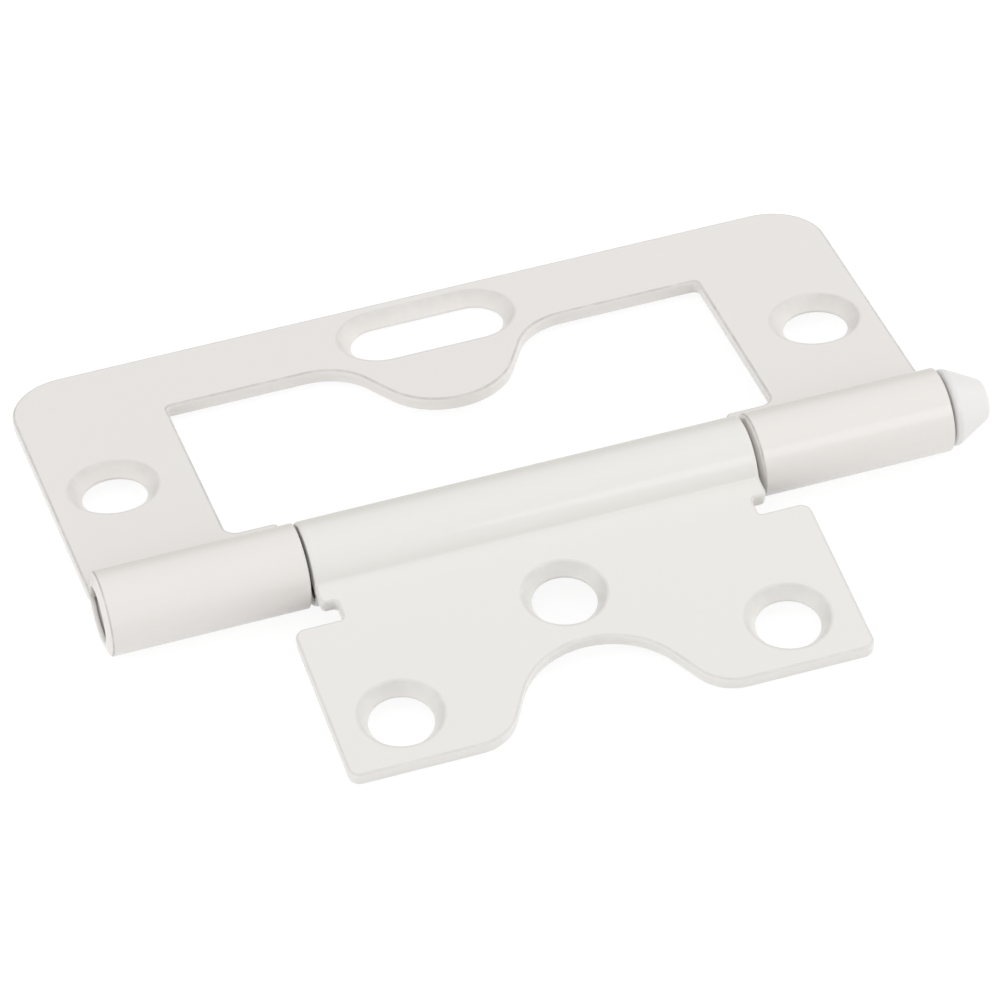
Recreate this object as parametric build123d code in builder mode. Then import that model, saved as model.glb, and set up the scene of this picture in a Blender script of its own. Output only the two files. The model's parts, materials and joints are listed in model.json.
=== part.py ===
# Non-mortise hinge, in millimetres, lying open with its countersinks up.
# +X runs along the pin to its head, +Y towards the outer leaf, +Z up, and z = 0 is the surface.
# The origin is under the middle of the whole outline. Both leaves are pressed from one sheet:
# the outer leaf has a window, and the inner leaf folds over the pin into that window.
import os
from math import asin, atan2, cos, degrees, hypot, radians, sin, sqrt

from build123d import *

os.makedirs("parts", exist_ok=True)

# Sheet, barrel and pin
length = 76.2
sheet = 1.3
pin_radius = 2.38
pin_clearance = 0.05
flat_rise = 0.25
reverse_bend = 0.4
seam_gap = 0.15
end_knuckle = 17.65
knuckle_gap = 0.55
edge_chamfer = 0.2

# Outer leaf: its arms, the bar across their far ends, and the tongue that the bar carries
arm_width = 13.2
far_bar = 8.15
outer_corner = 5.3
window_near = 6.5
window_near_corner = 1.2
window_far_corner = 0.5
tongue_length = 8.95
tongue_radius = 6.5
tongue_shoulder = 5.4
tongue_flank = 61.0
outer_hole_inset = 5.65
outer_hole_y = 17.3
slot_inset = 5.1
slot_centres = 8.4

# Inner leaf: its outline is given by the play that it has in the outer leaf's window
side_play = 1.8
end_play = 2.65
tongue_play = 2.1
flank_play = 1.1
shoulder_play = 1.3
inner_corner = 1.0
relief_depth = 1.3
relief_height = 2.2
relief_corner = 0.4
middle_hole_y = 10.85
middle_hole_land = 5.45
inner_hole_inset = 6.0
inner_hole_land = 5.4

# Screw holes
hole_radius = 2.8
countersink_radius = 3.95
countersink_depth = 1.0

# Pin ends
head_gap = 0.3
head_radius = 3.48
head_rim = 0.8
head_cone = 3.25
head_nose = 1.75
head_dome = 9.0
nose_round = 0.8
rim_chamfer = 0.25
tail_recess = 0.4
tail_chamfer = 0.35

# Sizes that follow
bore_radius = pin_radius + pin_clearance
barrel_radius = bore_radius + sheet
flat_low = flat_rise - sheet
cone_angle = 2 * degrees(atan2(countersink_radius - hole_radius, countersink_depth))

# Along the barrel, from its middle
window_half = length / 2 - arm_width
inner_half = window_half - side_play
end_knuckle_start = length / 2 - end_knuckle
middle_half = end_knuckle_start - knuckle_gap
relief_half = middle_half - relief_depth
outer_hole_x = length / 2 - outer_hole_inset
inner_hole_x = inner_half - inner_hole_inset

# Out from the pin axis: the middle hole, the scallop, the tongue and the bar follow one another
scallop_tip = middle_hole_y + middle_hole_land
tongue_tip = scallop_tip + tongue_play
window_far = tongue_tip + tongue_length
outer_reach = window_far + far_bar
slot_y = outer_reach - slot_inset
inner_reach = window_far - end_play
inner_hole_y = inner_reach - inner_hole_land
notch_y = window_near + shoulder_play
relief_y = notch_y - relief_height
scallop_radius = tongue_radius + flank_play
scallop_shoulder = tongue_shoulder - flank_play

# The pin's tail stops short inside its knuckle, and its head stands off the other one.
# The head ends in a shallow dome, whose edge meets the cone.
pin_tail = -length / 2 + tail_recess
head_start = length / 2 + head_gap
cone_end = head_start + head_rim + head_cone
dome_half_angle = asin(head_nose / head_dome)
head_end = cone_end + head_dome * (1 - cos(dome_half_angle))

# The reverse bend's centre lies under the flat. It touches the flat and the outside of the roll.
bend_drop = reverse_bend - flat_low
bend_start = sqrt((barrel_radius + reverse_bend) ** 2 - bend_drop**2)
bend_angle = atan2(-bend_drop, bend_start)
seam_angle = asin((flat_rise + seam_gap) / barrel_radius)

# Each leaf leans until its free edge and the barrel both lie on the surface
outer_lean = asin(barrel_radius / hypot(outer_reach, flat_low)) - atan2(-flat_low, outer_reach)
inner_lean = asin(barrel_radius / hypot(inner_reach, flat_rise)) - atan2(flat_rise, inner_reach)

# Middle of the barrel on the pin axis, placed so that the outline is centred on the origin
back = outer_reach * cos(outer_lean) + flat_rise * sin(outer_lean)
front = inner_reach * cos(inner_lean) - flat_low * sin(inner_lean)
pin_middle = Vector(length / 4 - head_end / 2, (front - back) / 2, barrel_radius)

# Frame of each leaf: x along the pin, y out along the leaf, z square to its flat. The inner leaf
# is turned over, so its z points down and one knuckle section serves both leaves.
outer_frame = Plane(pin_middle, x_dir=(1, 0, 0), z_dir=(0, sin(outer_lean), cos(outer_lean)))
inner_frame = Plane(pin_middle, x_dir=(1, 0, 0), z_dir=(0, sin(inner_lean), -cos(inner_lean)))
# The same leaf seen from its countersunk face, which looks up
inner_face = Plane(pin_middle, x_dir=(-1, 0, 0), z_dir=(0, -sin(inner_lean), cos(inner_lean)))

# Two places nearer than this are the same
near_enough = 0.01


# Point at an angle in radians on a circle about the pin
def on_circle(radius, angle):
    return (radius * cos(angle), radius * sin(angle))


# Sheet rolled once round the pin, seen along it: the flat turns down in a reverse bend, runs
# under and over the pin, and ends at a seam on the flat's upper face
def knuckle_section(leaf_frame, x):
    square_to_pin = Plane(
        leaf_frame.origin + Vector(x, 0, 0), x_dir=leaf_frame.y_dir, z_dir=(1, 0, 0)
    )
    bend_centre = (bend_start, -bend_drop)
    bend_turn = 90 + degrees(bend_angle)
    roll_start = degrees(bend_angle)
    roll_turn = degrees(seam_angle) - roll_start - 360
    with BuildSketch(square_to_pin) as section:
        with BuildLine():
            Line((bend_start, flat_low), (bend_start, flat_rise))
            CenterArc(bend_centre, reverse_bend, 90, bend_turn)
            CenterArc(bend_centre, reverse_bend + sheet, 90, bend_turn)
            CenterArc((0, 0), barrel_radius, roll_start, roll_turn)
            CenterArc((0, 0), bore_radius, roll_start, roll_turn)
            Line(on_circle(bore_radius, seam_angle), on_circle(barrel_radius, seam_angle))
        make_face()
    return section.sketch


# Right half of a rounded bell, drawn from its tip out to the straight edge beside it
def bell_half(tip, edge, tip_radius, shoulder_radius):
    turned = 1 - cos(radians(tongue_flank))
    rise = edge - tip - (tip_radius + shoulder_radius) * turned
    tip_arc = JernArc((0, tip), (1, 0), tip_radius, tongue_flank)
    flank = PolarLine(tip_arc @ 1, rise / sin(radians(tongue_flank)), tongue_flank)
    return JernArc(flank @ 1, flank % 1, shoulder_radius, -tongue_flank)


# Corners of an outline that lie a given distance either side of its middle
def corners_at(outline, half):
    return outline.vertices().filter_by(lambda corner: abs(abs(corner.X) - half) < near_enough)


# Outer leaf's flat: a frame round a window, with a tongue that comes down into the window and
# room left between the end knuckles for the middle one
def outer_outline():
    with BuildSketch(outer_frame.offset(flat_low)) as outline:
        with BuildLine():
            far_edge = Line((0, outer_reach), (length / 2, outer_reach))
            end_edge = Line(far_edge @ 1, (length / 2, bend_start))
            roll_edge = Line(end_edge @ 1, (end_knuckle_start, bend_start))
            gap_edge = Line(roll_edge @ 1, (end_knuckle_start, window_near))
            near_edge = Line(gap_edge @ 1, (window_half, window_near))
            arm_edge = Line(near_edge @ 1, (window_half, window_far))
            shoulder = bell_half(tongue_tip, window_far, tongue_radius, tongue_shoulder)
            Line(arm_edge @ 1, shoulder @ 1)
            mirror(about=Plane.YZ)
        make_face()
        fillet(corners_at(outline, length / 2).group_by(Axis.Y)[-1], outer_corner)
        fillet(corners_at(outline, window_half).group_by(Axis.Y)[-1], window_far_corner)
        fillet(corners_at(outline, window_half).group_by(Axis.Y)[0], window_near_corner)
    return outline.sketch


# Inner leaf's flat: a neck at the knuckle with a relief each side of it, square shoulders, and a
# scallop in the free edge that clears the tongue
def inner_outline():
    with BuildSketch(inner_frame.offset(flat_low)) as outline:
        with BuildLine():
            shoulder = bell_half(scallop_tip, inner_reach, scallop_radius, scallop_shoulder)
            free_edge = Line(shoulder @ 1, (inner_half, inner_reach))
            side_edge = Line(free_edge @ 1, (inner_half, notch_y))
            notch_edge = Line(side_edge @ 1, (relief_half, notch_y))
            relief_edge = Line(notch_edge @ 1, (relief_half, relief_y))
            neck_edge = Line(relief_edge @ 1, (middle_half, relief_y))
            knuckle_edge = Line(neck_edge @ 1, (middle_half, bend_start))
            Line(knuckle_edge @ 1, (0, bend_start))
            mirror(about=Plane.YZ)
        make_face()
        fillet(corners_at(outline, inner_half), inner_corner)
        fillet(corners_at(outline, relief_half), relief_corner)
    return outline.sketch


# Break the sheared edges on both faces of a leaf. The chamfer carries on round the ends of the
# knuckles, whose edges run smoothly into those of the flat.
def break_edges(leaf, leaf_frame):
    out = Axis(leaf_frame.origin, leaf_frame.y_dir)
    up = Axis(leaf_frame.origin, leaf_frame.z_dir)
    flat_edges = leaf.edges().filter_by_position(out, bend_start + near_enough, outer_reach)
    for face in (flat_low, flat_rise):
        sheared = flat_edges.filter_by_position(up, face - near_enough, face + near_enough)
        chamfer(sheared, edge_chamfer)


# Outer leaf
with BuildPart(outer_frame) as outer_leaf:
    extrude(outer_outline(), amount=sheet)
    extrude(knuckle_section(outer_frame, -length / 2), amount=end_knuckle)
    extrude(knuckle_section(outer_frame, end_knuckle_start), amount=end_knuckle)
    break_edges(outer_leaf, outer_frame)
    with Locations((-outer_hole_x, outer_hole_y, flat_rise), (outer_hole_x, outer_hole_y, flat_rise)):
        CounterSinkHole(hole_radius, countersink_radius, counter_sink_angle=cone_angle)
    # The slot is countersunk along its whole length, for a screw set anywhere in it
    with BuildSketch(outer_frame.offset(flat_low)):
        with Locations((0, slot_y)):
            SlotCenterToCenter(slot_centres, 2 * hole_radius)
    extrude(amount=sheet, mode=Mode.SUBTRACT)
    with BuildSketch(outer_frame.offset(flat_rise)):
        with Locations((0, slot_y)):
            SlotCenterToCenter(slot_centres, 2 * countersink_radius)
    extrude(amount=-countersink_depth, taper=cone_angle / 2, mode=Mode.SUBTRACT)

outer_leaf.part.label = "outer_leaf"
export_step(outer_leaf.part, "parts/outer_leaf.step")

# Inner leaf
with BuildPart(inner_face) as inner_leaf:
    extrude(inner_outline(), amount=sheet)
    extrude(knuckle_section(inner_frame, -middle_half), amount=2 * middle_half)
    break_edges(inner_leaf, inner_frame)
    with Locations(
        (-inner_hole_x, inner_hole_y, -flat_low),
        (inner_hole_x, inner_hole_y, -flat_low),
        (0, middle_hole_y, -flat_low),
    ):
        CounterSinkHole(hole_radius, countersink_radius, counter_sink_angle=cone_angle)

inner_leaf.part.label = "inner_leaf"
export_step(inner_leaf.part, "parts/inner_leaf.step")

# Hinge pin: a plain shank with a chamfered tail, and a head with a short rim and a blunt cone
with BuildPart() as hinge_pin:
    with BuildSketch(Plane(pin_middle, x_dir=(1, 0, 0), z_dir=(0, -1, 0))) as profile:
        with BuildLine():
            tail = Line((pin_tail, 0), (pin_tail, pin_radius - tail_chamfer))
            chamfered = Line(tail @ 1, (pin_tail + tail_chamfer, pin_radius))
            shank = Line(chamfered @ 1, (head_start, pin_radius))
            seat = Line(shank @ 1, (head_start, head_radius))
            rim = Line(seat @ 1, (head_start + head_rim, head_radius))
            cone = Line(rim @ 1, (cone_end, head_nose))
            CenterArc((head_end - head_dome, 0), head_dome, 0, degrees(dome_half_angle))
            Line((head_end, 0), (pin_tail, 0))
        make_face()
        chamfer(profile.vertices().sort_by_distance(seat @ 1)[0], rim_chamfer)
        fillet(profile.vertices().sort_by_distance(cone @ 1)[0], nose_round)
    revolve(axis=Axis(pin_middle, (1, 0, 0)))

hinge_pin.part.label = "hinge_pin"
export_step(hinge_pin.part, "parts/hinge_pin.step")
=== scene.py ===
# Non-mortise hinge in a gloss coat. Each leaf is a pressed blank, rolled round the pin.
# Sizes in the dictionaries are millimetres and degrees, and those of the studio are metres.
# Objects are in metres.
import json
from math import asin, atan2, ceil, cos, degrees, pi, radians, sin, sqrt, tan

import bmesh
import bpy
from mathutils import Matrix, Vector
from mathutils.geometry import delaunay_2d_cdt


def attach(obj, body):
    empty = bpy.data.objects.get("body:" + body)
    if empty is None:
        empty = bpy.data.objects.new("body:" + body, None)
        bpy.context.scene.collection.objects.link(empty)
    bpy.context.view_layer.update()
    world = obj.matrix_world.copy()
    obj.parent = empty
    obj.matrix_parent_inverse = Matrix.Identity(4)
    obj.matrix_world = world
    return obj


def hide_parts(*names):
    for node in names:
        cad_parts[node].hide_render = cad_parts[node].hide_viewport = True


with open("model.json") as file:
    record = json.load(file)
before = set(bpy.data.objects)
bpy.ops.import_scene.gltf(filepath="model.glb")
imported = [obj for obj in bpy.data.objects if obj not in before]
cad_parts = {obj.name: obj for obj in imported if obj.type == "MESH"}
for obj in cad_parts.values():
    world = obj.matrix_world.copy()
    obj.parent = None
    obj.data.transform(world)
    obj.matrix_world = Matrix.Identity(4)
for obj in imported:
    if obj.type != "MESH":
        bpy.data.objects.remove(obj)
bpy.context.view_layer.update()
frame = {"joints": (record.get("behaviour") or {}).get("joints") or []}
mm = 0.001
samePlace = 1e-4  # points this near, in millimetres, count as one
sameRow = 1e-5  # a point this near a row lies on it
fillExactness = 1e-6  # and the same for the triangles of a face
scene = bpy.context.scene
hingeJoint = next(joint for joint in frame["joints"] if joint["name"] == "leaf_hinge")
pinMiddle = Vector(hingeJoint["pos_m"])
print("Frame loaded")


# A socket with Python's operators. Each operator adds one Math node to the socket's own tree.
class Wire:
    def __init__(self, net, socket):
        self.net = net
        self.socket = socket

    def maths(self, operation, first, second=0.0):
        return self.net.node("ShaderNodeMath", {"operation": operation}, {0: first, 1: second})

    def __add__(self, other):
        return self.maths("ADD", self, other)

    def __radd__(self, other):
        return self.maths("ADD", other, self)

    def __sub__(self, other):
        return self.maths("SUBTRACT", self, other)

    def __rsub__(self, other):
        return self.maths("SUBTRACT", other, self)

    def __mul__(self, other):
        return self.maths("MULTIPLY", self, other)

    def __rmul__(self, other):
        return self.maths("MULTIPLY", other, self)

    def __truediv__(self, other):
        return self.maths("DIVIDE", self, other)

    def __rtruediv__(self, other):
        return self.maths("DIVIDE", other, self)

    def __lt__(self, other):
        return self.maths("LESS_THAN", self, other)

    def __gt__(self, other):
        return self.maths("LESS_THAN", other, self)

    def sine(self):
        return self.maths("SINE", self)

    def cosine(self):
        return self.maths("COSINE", self)


# A node tree. node() makes one node of any type: settings first, then what its inputs get.
class Net:
    def __init__(self, tree):
        self.tree = tree

    def node(self, kind, settings=None, values=None, out=0):
        made = self.tree.nodes.new(kind)
        for name, value in (settings or {}).items():
            setattr(made, name, value)
        for key, value in (values or {}).items():
            if isinstance(value, Wire):
                self.tree.links.new(value.socket, made.inputs[key])
            else:
                made.inputs[key].default_value = value
        return Wire(self, made.outputs[out]) if len(made.outputs) else None

    def mixColour(self, factor, first, second, blend="MIX"):
        settings = {"data_type": "RGBA", "blend_type": blend}
        return self.node("ShaderNodeMix", settings, {0: factor, 6: first, 7: second}, 2)

    def split(self, vector):
        outputs = self.node("ShaderNodeSeparateXYZ", {}, {0: vector}).socket.node.outputs
        return [Wire(self, socket) for socket in outputs]


# Gloss coat: faint clouding, orange peel, a finer grain, darker lines along the sheared edges,
# and painted shade: a darker band along the barrel's back, standing in for the shade there,
# whose rise and fade are distances round the roll from the bend. The hinge is coated once it
# is together, so inside the barrel the pin and the bores stay bare steel, as far from the middle
# as coatReach.
coatFinish = {
    "colours": {
        "outer": ((0.81, 0.79, 0.763, 1), (0.822, 0.789, 0.758, 1)),
        "inner": ((0.815, 0.805, 0.772, 1), (0.82, 0.80, 0.765, 1)),
        "pin": ((0.795, 0.785, 0.775, 1), (0.785, 0.775, 0.768, 1)),
    },
    "edgeDark": (0.27, 0.26, 0.24, 1),
    "edgeDarkShare": 1.0,
    "steel": (0.33, 0.315, 0.295, 1),
    "steelMetal": 0.85,
    "roughness": 0.30,
    "roughnessSpread": 0.10,
    "specular": 0.15,
    "gloss": 0.22,
    "glossRoughness": 0.08,
    "glossIndex": 2.4,
    "cloudSize": 11.0,
    "cloudDetail": 3.0,
    "patchSize": 1.4,
    "patchDetail": 3.0,
    "backShadeTint": (0.86, 0.85, 0.82, 1),
    "backShadeBands": {"outer": (13.1, 14.5, 18.5, 19.5), "inner": (4.0, 5.4, 6.4, 8.8)},
    "coatReach": 37.7,
    "peelSize": 1.5,
    "peelDetail": 1.0,
    "peelDepth": 0.03,
    "grainSize": 0.19,
    "grainDetail": 2.0,
    "grainDepth": 0.002,
}


def coatMaterial(part, finish):
    colour, other = finish["colours"][part]
    material = bpy.data.materials.new(part + "Coat")
    material.use_nodes = True
    material.node_tree.nodes.clear()
    net = Net(material.node_tree)
    place = net.node("ShaderNodeTexCoord", out=3)

    def noise(name):
        scale = 1 / (finish[name + "Size"] * mm)
        values = {"Vector": place, "Scale": scale, "Detail": finish[name + "Detail"]}
        return net.node("ShaderNodeTexNoise", {}, values)

    cloud = noise("cloud")
    # Darker lines along the sheet's edges, the hole rims and the knuckles' left ends, where the edge
    # attribute is set
    edge = net.node("ShaderNodeAttribute", {"attribute_name": "edge"}, out=2)
    edgeDark = edge * noise("patch") * finish["edgeDarkShare"]
    tint = net.mixColour(cloud, colour, other)
    tint = net.mixColour(edgeDark, tint, finish["edgeDark"])
    # Painted shade: the colour is darkened along the back of each barrel, where the light falls off
    if part in finish["backShadeBands"]:
        rise, full, fade, end = finish["backShadeBands"][part]
        rolled = net.node("ShaderNodeAttribute", {"attribute_name": "rolled"}, out=2)
        smooth = {"interpolation_type": "SMOOTHSTEP"}
        paintedShade = net.node("ShaderNodeMapRange", smooth, {0: rolled, 1: rise, 2: full})
        paintedShade = paintedShade * (1 - net.node("ShaderNodeMapRange", smooth, {0: rolled, 1: fade, 2: end}))
        tint = net.mixColour(paintedShade, tint, finish["backShadeTint"], "MULTIPLY")
    x = net.split(place)[0] - pinMiddle.x
    bare = net.node("ShaderNodeAttribute", {"attribute_name": "bare"}, out=2)
    bare = bare * (x * x < (finish["coatReach"] * mm) ** 2)
    tint = net.mixColour(bare, tint, finish["steel"])
    roughness = finish["roughness"] + (cloud - 0.5) * finish["roughnessSpread"]
    height = noise("peel") * (finish["peelDepth"] * mm)
    height = height + noise("grain") * (finish["grainDepth"] * mm)
    bump = net.node("ShaderNodeBump", {}, {"Strength": 1.0, "Distance": 1.0, "Height": height})
    shader = net.node("ShaderNodeBsdfPrincipled", {}, {
        "Base Color": tint, "Roughness": roughness, "Normal": bump,
        "Metallic": bare * finish["steelMetal"], "Specular IOR Level": finish["specular"],
        "Coat Weight": (1 - bare) * finish["gloss"], "Coat Roughness": finish["glossRoughness"],
        "Coat IOR": finish["glossIndex"],
    })
    net.node("ShaderNodeOutputMaterial", {}, {"Surface": shader})
    return material


outerCoat = coatMaterial("outer", coatFinish)
innerCoat = coatMaterial("inner", coatFinish)
pinCoat = coatMaterial("pin", coatFinish)
print("Coats made")


def dropRepeats(points):
    return [point for i, point in enumerate(points) if (point - points[i - 1]).length > samePlace]


# Path with its corners rounded, each corner given as (x, y, radius)
def roundCorners(corners, closed=True, turnStep=7.0):
    points = []
    for i, (x, y, radius) in enumerate(corners):
        here = Vector((x, y))
        if radius == 0 or (not closed and i in (0, len(corners) - 1)):
            points.append(here)
            continue
        back = (Vector(corners[i - 1][:2]) - here).normalized()
        ahead = (Vector(corners[(i + 1) % len(corners)][:2]) - here).normalized()
        turn = pi - back.angle(ahead)
        centre = here + (back + ahead).normalized() * (radius / cos(turn / 2))
        spoke = here + back * (radius * tan(turn / 2)) - centre
        way = -1 if back.cross(ahead) > 0 else 1
        steps = max(2, ceil(degrees(turn) / turnStep))
        for k in range(steps + 1):
            points.append(centre + Matrix.Rotation(way * turn * k / steps, 2) @ spoke)
    return dropRepeats(points)


# The same loop moved to its left, which is into the sheet, by a distance for each point
def insetLoop(points, insets):
    moved = []
    for i, (point, inset) in enumerate(zip(points, insets)):
        before = (point - points[i - 1]).normalized()
        after = (points[(i + 1) % len(points)] - point).normalized()
        first = Vector((-before.y, before.x))
        second = Vector((-after.y, after.x))
        moved.append(point + (first + second) * (inset / (1 + first.dot(second))))
    return moved


# Extra points where a loop crosses the rows that the roll bends along
def splitAtRows(points, rows):
    split = []
    for i, point in enumerate(points):
        following = points[(i + 1) % len(points)]
        split.append(point)
        low, high = sorted((point.y, following.y))
        crossed = [row for row in rows if low + samePlace < row < high - samePlace]
        for row in sorted(crossed, reverse=point.y > following.y):
            split.append(point.lerp(following, (row - point.y) / (following.y - point.y)))
    return split


# The sheet and its roll, seen along the pin: heights are from the pin axis
sheetRoll = {
    "thickness": 1.3,
    "flatLow": -1.05,
    "reverseBend": 0.4,
    "boreRadius": 2.43,
    "seamRise": 0.4,
    "rowClear": 0.95,
    "bendStep": 7.0,
    "rollStep": 4.0,
    "edgeRound": 0.2,
    "backRound": 0.2,
    "support": 0.06,
    "frontFit": 0.999,
    "backFit": 0.99,
    "breakDepth": 0.62,
    "breakHeight": 0.1,
    "breakStep": 0.04,
    "edgeStep": 18.0,
    "backSharper": 0.5,
    "lineDepth": 0.09,
    "holeLine": 0.3,
    "boreSkin": 0.01,
    "boreStart": 0.7,
    "seamBare": 0.15,
}
thickness = sheetRoll["thickness"]
flatLow = sheetRoll["flatLow"]
flatRise = flatLow + thickness
barrelRadius = sheetRoll["boreRadius"] + thickness
bendDrop = sheetRoll["reverseBend"] - flatLow
bendStart = sqrt((barrelRadius + sheetRoll["reverseBend"]) ** 2 - bendDrop**2)
rollStart = atan2(-bendDrop, bendStart)
bendTurn = pi / 2 + rollStart
rollTurn = 2 * pi + rollStart - asin(sheetRoll["seamRise"] / barrelRadius)
bendReach = sheetRoll["reverseBend"] + thickness / 2
rollReach = sheetRoll["boreRadius"] + thickness / 2
bendEnd = bendStart - bendTurn * bendReach
blankEnd = bendEnd - rollTurn * rollReach


# Rows across the knuckles of a blank, close enough for a smooth bend. The last stays clear of
# the rounded end.
def rollRows(sizes):
    clear = sizes["rowClear"]
    bends = ceil(degrees(bendTurn) / sizes["bendStep"])
    rolls = ceil(degrees(rollTurn) / sizes["rollStep"])
    rows = [bendStart + (bendEnd - bendStart) * k / bends for k in range(bends)]
    return rows + [bendEnd + (blankEnd + clear - bendEnd) * k / rolls for k in range(rolls + 1)]


# Section of a sheared edge, from the front face to the back, as (inset, depth). The punch rolls
# the front over and cuts clean, then the sheet breaks and leaves a small step. Both corners are
# rounded over nearly all of their room.
def shearedEdge(sizes):
    front, back, support = sizes["edgeRound"], sizes["backRound"], sizes["support"]
    broken, step = sizes["breakDepth"], sizes["breakStep"]
    section = roundCorners([
        (front, 0, 0), (0, 0, front * sizes["frontFit"]), (0, front + support, 0),
        (0, broken, 0), (step, broken + sizes["breakHeight"], 0),
        (step, thickness - back - support, 0),
        (step, thickness, back * sizes["backFit"]), (back + step, thickness, 0),
    ], False, sizes["edgeStep"])
    flatFront = Vector((front + support, 0))
    flatBack = Vector((back + step + support, thickness))
    return [flatFront] + section + [flatBack]


# Countersunk holes of each leaf, and what their rims share
outerHole = {"radius": 2.88, "sinkRadius": 3.93, "sinkDepth": 1.08}
innerHole = {"radius": 2.8, "sinkRadius": 3.6, "sinkDepth": 1.1}
holeRim = {
    "frontLand": 0.3,
    "rimRound": 0.2,
    "lipRound": 0.08,
    "backRound": 0.06,
    "backInner": 0.24,
    "backLand": 0.34,
    "arcStep": 12.0,
}


# Section of a countersunk hole, from the front face to the back
def sunkEdge(hole, rim):
    sink = hole["sinkRadius"] - hole["radius"]
    return roundCorners([
        (sink + rim["frontLand"], 0, 0), (sink, 0, rim["rimRound"]),
        (0, hole["sinkDepth"], rim["lipRound"]), (0, thickness, rim["backRound"]),
        (rim["backInner"], thickness, 0), (rim["backLand"], thickness, 0),
    ], False, rim["arcStep"])


# Round hole or slot, run clockwise so that the sheet lies to its left
def holeLoop(x, y, radius, spacing=0.0, steps=72):
    points = []
    for k in range(steps + 1):
        angle = pi / 2 - pi * k / steps
        points.append(Vector((x + spacing / 2 + radius * cos(angle), y + radius * sin(angle))))
    for k in range(steps + 1):
        angle = -pi / 2 - pi * k / steps
        points.append(Vector((x - spacing / 2 + radius * cos(angle), y + radius * sin(angle))))
    return dropRepeats(points)


# How far a point of the blank is into a knuckle, from 0 in the flat to 1
def rolledShare(point):
    return min(1, max(0, (bendStart - point.y) / (bendStart - bendEnd)))


# How much of a knuckle's left end each point of the outline is, from 0 to 1
def leftEndShares(points):
    shares = []
    for i, point in enumerate(points):
        along = points[(i + 1) % len(points)] - points[i - 1]
        shares.append(rolledShare(point) * max(0, -along.y / along.length))
    return shares


# Solid flat blank. Each loop is run round its section, and both faces are filled between loops.
# Rolling draws the sheet's outer side back at a knuckle's left end, so that end slants. The
# attributes say where the edges are darker (edge), where steel is bare (bare), and how many
# millimetres past the bend a point is (rolled), which places the painted shade on the barrel's back.
def pressBlank(name, outline, holes, hole, leaf, frontUp):
    rows = rollRows(sheetRoll)
    outline = splitAtRows(outline, rows)
    loops = [(outline, shearedEdge(sheetRoll), leaf["edgeLine"])]
    loops += [(points, sunkEdge(hole, holeRim), sheetRoll["holeLine"]) for points in holes]
    wider = leaf["knuckleRound"] / sheetRoll["edgeRound"] - 1
    build = bmesh.new()
    edgeLayer = build.verts.layers.float.new("edge")
    bareLayer = build.verts.layers.float.new("bare")
    rolledLayer = build.verts.layers.float.new("rolled")
    skin = flatRise - sheetRoll["boreSkin"]
    boreStart = bendStart - sheetRoll["boreStart"]
    seamStart = blankEnd + sheetRoll["seamBare"]
    faces = {"front": [], "back": []}
    for points, section, line in loops:
        rings = []
        last = len(section) - 1
        leftEnds = leftEndShares(points)
        for j, (inset, depth) in enumerate(section):
            height = flatRise - depth if frontUp else flatLow + depth
            change = wider if depth < sheetRoll["breakDepth"] else -sheetRoll["backSharper"]
            slant = leaf["endSlant"] * ((flatRise - height) / thickness) ** leaf["endCurve"]
            insets = [inset * (1 + change * rolledShare(point)) + slant * leftEnd
                      for point, leftEnd in zip(points, leftEnds)]
            ring = []
            for point, leftEnd in zip(insetLoop(points, insets), leftEnds):
                vertex = build.verts.new((point.x * mm, point.y * mm, height * mm))
                if j == last - 1:
                    vertex[edgeLayer] = line
                elif 0 < j < last and depth < sheetRoll["lineDepth"]:
                    vertex[edgeLayer] = line * (1 - rolledShare(point))
                elif j < last and depth > thickness - sheetRoll["lineDepth"]:
                    vertex[edgeLayer] = leaf["endLine"] * leftEnd
                inBore = height > skin and point.y < boreStart
                vertex[bareLayer] = 1.0 if inBore or point.y < seamStart else 0.0
                vertex[rolledLayer] = bendEnd - point.y
                ring.append(vertex)
            rings.append(ring)
        for upper, lower in zip(rings, rings[1:]):
            for i in range(len(points)):
                build.faces.new((upper[i - 1], upper[i], lower[i], lower[i - 1]))
        faces["front"].append(rings[0])
        faces["back"].append(rings[-1])
    for rings in faces.values():
        fillFace(build, rings, outline, rows)
    bmesh.ops.recalc_face_normals(build, faces=build.faces)
    mesh = bpy.data.meshes.new(name)
    build.to_mesh(mesh)
    build.free()
    return mesh


# Triangles between the outer ring and the hole rings, with an edge across each knuckle at each row
def fillFace(build, rings, outline, rows):
    vertices = [vertex for ring in rings for vertex in ring]
    spans = ringSpans(rings)
    edges = []
    for first, last in spans:
        edges += [(i, i + 1 if i + 1 < last else first) for i in range(first, last)]
    outer = list(enumerate(outline))
    for row in rows:
        across = sorted((point.x, i) for i, point in outer if abs(point.y - row) < sameRow)
        edges += [(across[k][1], across[k + 1][1]) for k in range(0, len(across), 2)]
    flat = [Vector((vertex.co.x / mm, vertex.co.y / mm)) for vertex in vertices]
    filled = delaunay_2d_cdt(flat, edges, [], 1, fillExactness)
    source = [owners[0] for owners in filled[3]]
    holes = [flat[first:last] for first, last in spans[1:]]
    for triangle in filled[2]:
        corners = [flat[source[i]] for i in triangle]
        middle = (corners[0] + corners[1] + corners[2]) / 3
        if not any(insideLoop(middle, hole) for hole in holes):
            build.faces.new([vertices[source[i]] for i in triangle])


def ringSpans(rings):
    spans = []
    start = 0
    for ring in rings:
        spans.append((start, start + len(ring)))
        start += len(ring)
    return spans


def insideLoop(point, loop):
    inside = False
    for i, corner in enumerate(loop):
        before = loop[i - 1]
        if (corner.y > point.y) != (before.y > point.y):
            crossing = corner.x + (point.y - corner.y) * (before.x - corner.x) / (before.y - corner.y)
            inside = inside != (point.x < crossing)
    return inside


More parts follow.
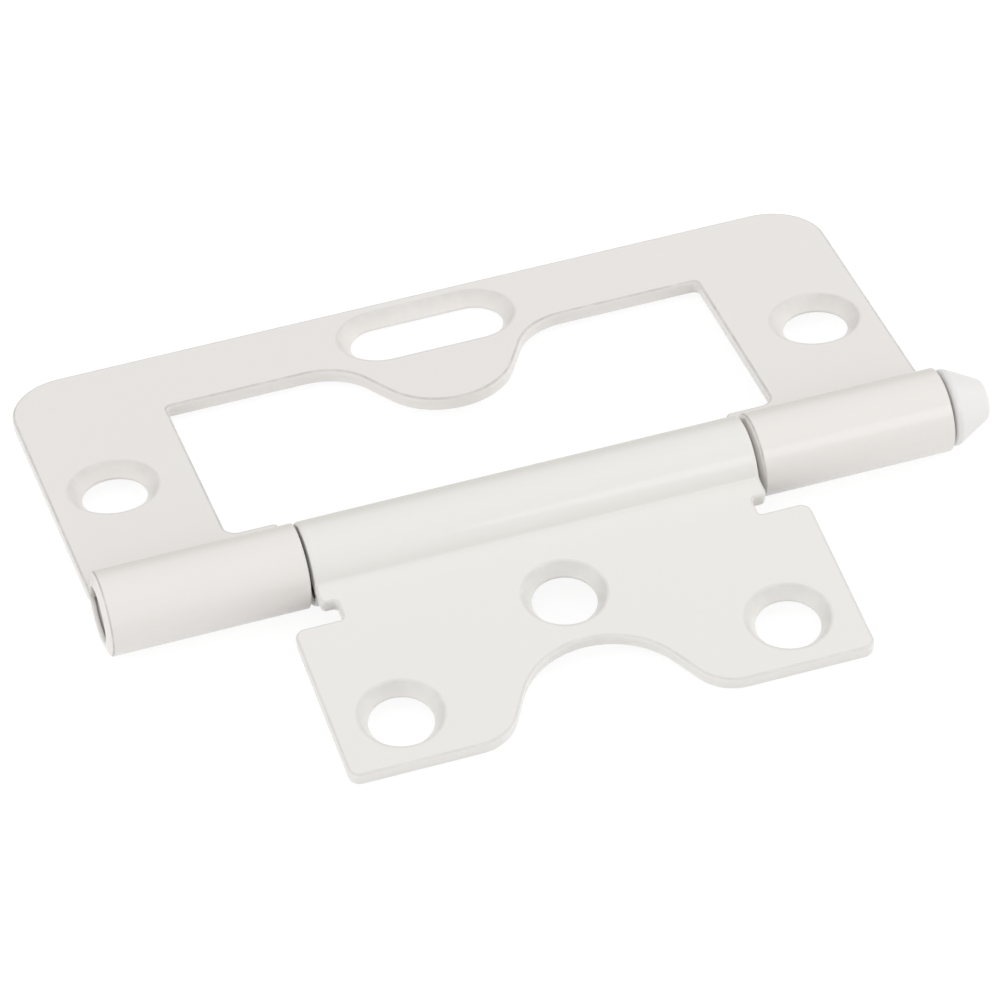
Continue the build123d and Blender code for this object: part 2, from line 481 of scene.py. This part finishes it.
# Geometry Nodes: bends a flat blank along the reverse bend, and then once round the pin
def rollTree():
    tree = bpy.data.node_groups.new("rollRoundPin", "GeometryNodeTree")
    face = tree.interface
    face.new_socket("Blank", in_out="INPUT", socket_type="NodeSocketGeometry")
    for name in ("Bend start", "Bend end", "Bend centre height", "Bend reach", "Roll reach",
                 "Roll start", "Barrel radius", "Flat low"):
        face.new_socket(name, in_out="INPUT", socket_type="NodeSocketFloat")
    face.new_socket("Coat", in_out="INPUT", socket_type="NodeSocketMaterial")
    face.new_socket("Leaf", in_out="OUTPUT", socket_type="NodeSocketGeometry")
    net = Net(tree)
    entry = net.node("NodeGroupInput").socket.node
    given = {socket.name: Wire(net, socket) for socket in entry.outputs if socket.name}
    place = net.node("GeometryNodeInputPosition")
    x, y, z = net.split(place)

    bendAngle = (given["Bend start"] - y) / given["Bend reach"]
    bendRadius = z - given["Bend centre height"]
    bentY = given["Bend start"] - bendRadius * bendAngle.sine()
    bentZ = given["Bend centre height"] + bendRadius * bendAngle.cosine()
    rollAngle = given["Roll start"] - (given["Bend end"] - y) / given["Roll reach"]
    rollRadius = given["Barrel radius"] - (z - given["Flat low"])
    rolledY = rollRadius * rollAngle.cosine()
    rolledZ = rollRadius * rollAngle.sine()
    bent = net.node("ShaderNodeCombineXYZ", {}, {0: x, 1: bentY, 2: bentZ})
    rolled = net.node("ShaderNodeCombineXYZ", {}, {0: x, 1: rolledY, 2: rolledZ})
    choose = {"input_type": "VECTOR"}
    inBend = net.node("GeometryNodeSwitch", choose, {0: y < given["Bend start"], 1: place, 2: bent})
    final = net.node("GeometryNodeSwitch", choose, {0: y < given["Bend end"], 1: inBend, 2: rolled})
    leaf = net.node("GeometryNodeSetPosition", {}, {"Geometry": given["Blank"], "Position": final})
    leaf = net.node("GeometryNodeRealizeInstances", {}, {0: leaf})
    leaf = net.node("GeometryNodeSetMaterial", {}, {"Geometry": leaf, "Material": given["Coat"]})
    net.node("NodeGroupOutput", {}, {0: leaf})
    return tree


rollNodes = rollTree()


# Rolls a blank, turns it to the leaf's lean and makes the finished piece
def rollLeaf(name, blank, lean, turnedOver, coat):
    piece = bpy.data.objects.new(name, blank)
    scene.collection.objects.link(piece)
    roll = piece.modifiers.new("roll", "NODES")
    roll.node_group = rollNodes
    sizes = {
        "Bend start": bendStart * mm, "Bend end": bendEnd * mm,
        "Bend centre height": -bendDrop * mm, "Bend reach": bendReach * mm,
        "Roll reach": rollReach * mm, "Roll start": rollStart,
        "Barrel radius": barrelRadius * mm, "Flat low": flatLow * mm, "Coat": coat,
    }
    for socket in rollNodes.interface.items_tree:
        if socket.in_out == "INPUT" and socket.name in sizes:
            roll[socket.identifier] = sizes[socket.name]
    evaluated = piece.evaluated_get(bpy.context.evaluated_depsgraph_get())
    mesh = bpy.data.meshes.new_from_object(evaluated)
    piece.modifiers.remove(roll)
    piece.data = mesh
    mesh.name = name
    s, c = sin(radians(lean)), cos(radians(lean))
    if turnedOver:
        turn = Matrix(((1, 0, 0), (0, -c, s), (0, -s, -c)))
    else:
        turn = Matrix(((1, 0, 0), (0, c, s), (0, -s, c)))
    mesh.transform(Matrix.Translation(pinMiddle) @ turn.to_4x4())
    mesh.shade_smooth()
    return piece


# Leaf with a window, a tongue in the window and a knuckle at each end
outerLeaf = {
    "halfLength": 38.1,
    "reach": 35.5,
    "corner": 5.3,
    "windowHalf": 24.9,
    "windowNear": 6.5,
    "windowFar": 27.35,
    "nearCorner": 1.2,
    "farCorner": 0.5,
    "tongueTip": 18.4,
    "tongueRadius": 6.5,
    "tongueShoulder": 5.4,
    "tongueFlank": 61.0,
    "knuckleStart": 20.4,
    "knuckleRound": 0.3,
    "endSlant": 0.36,
    "endCurve": 1.3,
    "endLine": 0.9,
    "edgeLine": 0.6,
    "leftDrift": 0.36,
    "rightDrift": 0.22,
    "cutCorner": 0.55,
    "punchShift": 0.2,
    "holeX": 32.45,
    "holeY": 17.3,
    "slotY": 30.4,
    "slotSpacing": 8.4,
    "lean": 4.334408,
}


# Corners of a rounded bell, from its left shoulder round the tip to its right shoulder
def bellCorners(tip, edge, tipRadius, shoulderRadius, flank):
    near = tipRadius * tan(radians(flank) / 2)
    far = near + (edge - tip) / tan(radians(flank))
    return [(-far, edge, shoulderRadius), (-near, tip, tipRadius),
            (near, tip, tipRadius), (far, edge, shoulderRadius)]


# Right half of the outline. The knuckle drifts towards the middle as it is rolled.
def outerHalf(leaf, drift):
    half = leaf["halfLength"]
    return [
        (leaf["windowHalf"], leaf["windowFar"], leaf["farCorner"]),
        (leaf["windowHalf"], leaf["windowNear"], leaf["nearCorner"]),
        (leaf["knuckleStart"], leaf["windowNear"], leaf["cutCorner"]),
        (leaf["knuckleStart"] - drift, blankEnd, 0), (half, blankEnd, 0),
        (half, leaf["reach"], leaf["corner"]),
    ]


def outerOutline(leaf):
    right = outerHalf(leaf, leaf["rightDrift"])
    left = [(-x, y, radius) for x, y, radius in reversed(outerHalf(leaf, leaf["leftDrift"]))]
    bell = bellCorners(leaf["tongueTip"], leaf["windowFar"], leaf["tongueRadius"],
                       leaf["tongueShoulder"], leaf["tongueFlank"])
    return roundCorners(bell + right + left)


punched = outerLeaf["punchShift"]
outerHoles = [
    holeLoop(punched + outerLeaf["holeX"], outerLeaf["holeY"], outerHole["radius"]),
    holeLoop(punched - outerLeaf["holeX"], outerLeaf["holeY"], outerHole["radius"]),
    holeLoop(punched, outerLeaf["slotY"], outerHole["radius"], outerLeaf["slotSpacing"]),
]
outerBlank = pressBlank("outerBlank", outerOutline(outerLeaf), outerHoles, outerHole, outerLeaf, True)
outerPiece = rollLeaf("outer_leaf_coated", outerBlank, outerLeaf["lean"], False, outerCoat)
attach(outerPiece, "outer_leaf")
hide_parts("outer_leaf")
print("Outer leaf made,", len(outerPiece.data.polygons), "faces")

# Leaf with the middle knuckle, a relief at each end of it and a scallop that clears the tongue
innerLeaf = {
    "half": 23.1,
    "reach": 24.7,
    "corner": 1.0,
    "notchY": 7.8,
    "rightNotch": -0.25,
    "reliefY": 5.6,
    "reliefHalf": 18.6,
    "reliefCorner": 0.4,
    "knuckleHalf": 19.95,
    "knuckleRound": 0.38,
    "endSlant": 0.1,
    "endCurve": 1.0,
    "endLine": 0.0,
    "edgeLine": 0.3,
    "rightDrift": 0.1,
    "cutCorner": 0.55,
    "scallopTip": 16.3,
    "scallopRadius": 7.6,
    "scallopShoulder": 4.3,
    "scallopFlank": 61.0,
    "holeX": 17.1,
    "holeY": 19.3,
    "middleHoleY": 10.85,
    "lean": 8.105241,
}


def innerHalf(leaf, drift, notchShift):
    notchY = leaf["notchY"] + notchShift
    return [
        (leaf["knuckleHalf"], blankEnd, 0),
        (leaf["knuckleHalf"] + drift, leaf["reliefY"], leaf["cutCorner"]),
        (leaf["reliefHalf"], leaf["reliefY"], leaf["reliefCorner"]),
        (leaf["reliefHalf"], notchY, leaf["reliefCorner"]),
        (leaf["half"], notchY, leaf["corner"]),
        (leaf["half"], leaf["reach"], leaf["corner"]),
    ]


def innerOutline(leaf):
    right = innerHalf(leaf, leaf["rightDrift"], leaf["rightNotch"])
    left = [(-x, y, radius) for x, y, radius in reversed(innerHalf(leaf, 0, 0))]
    bell = bellCorners(leaf["scallopTip"], leaf["reach"], leaf["scallopRadius"],
                       leaf["scallopShoulder"], leaf["scallopFlank"])
    return roundCorners(right + list(reversed(bell)) + left)


innerHoles = [
    holeLoop(innerLeaf["holeX"], innerLeaf["holeY"], innerHole["radius"]),
    holeLoop(-innerLeaf["holeX"], innerLeaf["holeY"], innerHole["radius"]),
    holeLoop(0, innerLeaf["middleHoleY"], innerHole["radius"]),
]
innerBlank = pressBlank("innerBlank", innerOutline(innerLeaf), innerHoles, innerHole, innerLeaf, False)
innerPiece = rollLeaf("inner_leaf_coated", innerBlank, innerLeaf["lean"], True, innerCoat)
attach(innerPiece, "inner_leaf")
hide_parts("inner_leaf")
print("Inner leaf made,", len(innerPiece.data.polygons), "faces")

# Pin: a plain shank, thinly coated on its free end, and a head with a short rim and a blunt cone
pinTurning = {
    "radius": 2.38,
    "tail": -37.6,
    "tailChamfer": 0.38,
    "tailBare": 0.6,
    "shankSkin": 0.01,
    "headStart": 38.4,
    "neckRound": 0.1,
    "headRadius": 3.42,
    "headRim": 0.58,
    "headCone": 3.12,
    "headNose": 1.72,
    "headDome": 0.18,
    "rimRound": 0.3,
    "coneRound": 0.35,
    "noseRound": 0.8,
    "arcStep": 10.0,
    "steps": 128,
}


def turnPin(name, pin, coat):
    headStart = pin["headStart"]
    rimEnd = headStart + pin["headRim"]
    coneEnd = rimEnd + pin["headCone"]
    profile = roundCorners([
        (pin["tail"], 0, 0), (pin["tail"], pin["radius"], pin["tailChamfer"]),
        (headStart, pin["radius"], pin["neckRound"]),
        (headStart, pin["headRadius"], pin["rimRound"]),
        (rimEnd, pin["headRadius"], pin["coneRound"]),
        (coneEnd, pin["headNose"], pin["noseRound"]), (coneEnd + pin["headDome"], 0, 0),
    ], False, pin["arcStep"])

    def bareShare(along, radius):
        if radius > pin["radius"] - pin["shankSkin"] and along < headStart:
            return 1.0
        return pin["tailBare"] if along < 0 else 0.0

    build = bmesh.new()
    bareLayer = build.verts.layers.float.new("bare")
    steps = pin["steps"]
    rings = []
    for along, radius in profile[1:-1]:
        ring = [build.verts.new((along * mm, radius * cos(2 * pi * k / steps) * mm,
                                 radius * sin(2 * pi * k / steps) * mm)) for k in range(steps)]
        for vertex in ring:
            vertex[bareLayer] = bareShare(along, radius)
        rings.append(ring)
    for first, second in zip(rings, rings[1:]):
        for k in range(steps):
            build.faces.new((first[k - 1], first[k], second[k], second[k - 1]))
    for end, ring in ((profile[0], rings[0]), (profile[-1], rings[-1])):
        middle = build.verts.new((end.x * mm, 0, 0))
        middle[bareLayer] = bareShare(end.x, 0)
        for k in range(steps):
            build.faces.new((ring[k - 1], ring[k], middle))
    bmesh.ops.recalc_face_normals(build, faces=build.faces)
    mesh = bpy.data.meshes.new(name)
    build.to_mesh(mesh)
    build.free()
    mesh.transform(Matrix.Translation(pinMiddle))
    mesh.materials.append(coat)
    mesh.shade_smooth()
    piece = bpy.data.objects.new(name, mesh)
    scene.collection.objects.link(piece)
    return piece


pinPiece = turnPin("hinge_pin_coated", pinTurning, pinCoat)
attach(pinPiece, "hinge_pin")
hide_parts("hinge_pin")
print("Pin made,", len(pinPiece.data.polygons), "faces")

# Floor, lamps and camera. A lamp that doesn't show has no reflection in the gloss.
studio = {
    "floorSize": 6.0,
    "floorColour": (0.92, 0.92, 0.92, 1),
    "floorShadow": 0.17,
    "white": 1.08,
    "worldLevel": 0.59,
    "worldTop": 0.16,
    "worldBack": -0.26,
    "lampDistance": 0.6,
    "lamps": {
        "key": {"way": (0.384, -0.768, 0.512), "size": 0.27, "watts": 0.22, "shows": True},
        "front": {"way": (0, -0.95, 0.3), "size": 0.4, "watts": 0.06, "shows": True},
        "right": {"way": (0.87, 0.07, 0.47), "size": 0.3, "watts": 1.05, "shows": False},
        "left": {"way": (-0.87, 0.07, 0.47), "size": 0.3, "watts": 0.88, "shows": False},
    },
    "eye": (-0.106847, -0.385998, 0.334929),
    "forward": (0.19938, 0.741, -0.64122),
    "right": (0.9521, -0.3013, -0.05214),
    "lens": 215.775,
}


def backgroundRays(net):
    rays = net.node("ShaderNodeLightPath").socket.node
    camera, glossy, through = (Wire(net, rays.outputs[name]) for name in
                               ("Is Camera Ray", "Is Glossy Ray", "Is Transmission Ray"))
    clamped = {"operation": "ADD", "use_clamp": True}
    return net.node("ShaderNodeMath", clamped, {0: camera + glossy, 1: through})


def makeFloor(sizes):
    half = sizes["floorSize"] / 2
    mesh = bpy.data.meshes.new("floor")
    corners = [(-half, -half, 0), (half, -half, 0), (half, half, 0), (-half, half, 0)]
    mesh.from_pydata(corners, [], [(0, 1, 2, 3)])
    material = bpy.data.materials.new("floorPaper")
    material.use_nodes = True
    material.node_tree.nodes.clear()
    net = Net(material.node_tree)
    lit = net.node("ShaderNodeBsdfDiffuse", {}, {"Color": sizes["floorColour"]})
    white = net.node("ShaderNodeEmission", {}, {"Color": (1, 1, 1, 1), "Strength": sizes["white"]})
    share = backgroundRays(net) * (1 - sizes["floorShadow"])
    mixed = net.node("ShaderNodeMixShader", {}, {0: share, 1: lit, 2: white})
    net.node("ShaderNodeOutputMaterial", {}, {"Surface": mixed})
    mesh.materials.append(material)
    floor = bpy.data.objects.new("floor", mesh)
    scene.collection.objects.link(floor)


def makeWorld(sizes):
    world = bpy.data.worlds.new("paleRoom")
    world.use_nodes = True
    world.node_tree.nodes.clear()
    net = Net(world.node_tree)
    y, z = net.split(net.node("ShaderNodeTexCoord"))[1:]
    level = sizes["worldLevel"] + z * sizes["worldTop"] + y * sizes["worldBack"]
    room = net.node("ShaderNodeBackground", {}, {"Color": (1, 1, 1, 1), "Strength": level})
    white = net.node("ShaderNodeBackground", {}, {"Color": (1, 1, 1, 1), "Strength": sizes["white"]})
    mixed = net.node("ShaderNodeMixShader", {}, {0: backgroundRays(net), 1: room, 2: white})
    net.node("ShaderNodeOutputWorld", {}, {"Surface": mixed})
    scene.world = world


def makeLamps(sizes):
    for name, lamp in sizes["lamps"].items():
        data = bpy.data.lights.new(name, "AREA")
        data.shape = "DISK"
        data.size = lamp["size"]
        data.energy = lamp["watts"]
        way = Vector(lamp["way"]).normalized()
        light = bpy.data.objects.new(name, data)
        light.location = way * sizes["lampDistance"]
        light.rotation_mode = "QUATERNION"
        light.rotation_quaternion = way.to_track_quat("Z", "Y")
        light.visible_glossy = lamp["shows"]
        scene.collection.objects.link(light)


def makeCamera(sizes):
    data = bpy.data.cameras.new("camera")
    data.sensor_width = 36.0
    data.lens = sizes["lens"]
    data.clip_start = 0.01
    data.clip_end = 20.0
    camera = bpy.data.objects.new("camera", data)
    back = -Vector(sizes["forward"])
    right = Vector(sizes["right"])
    up = back.cross(right)
    camera.matrix_world = Matrix.Translation(sizes["eye"]) @ Matrix((right, up, back)).transposed().to_4x4()
    scene.collection.objects.link(camera)
    scene.camera = camera


makeFloor(studio)
makeWorld(studio)
makeLamps(studio)
makeCamera(studio)
scene.view_settings.view_transform = "Standard"
print("Studio made")
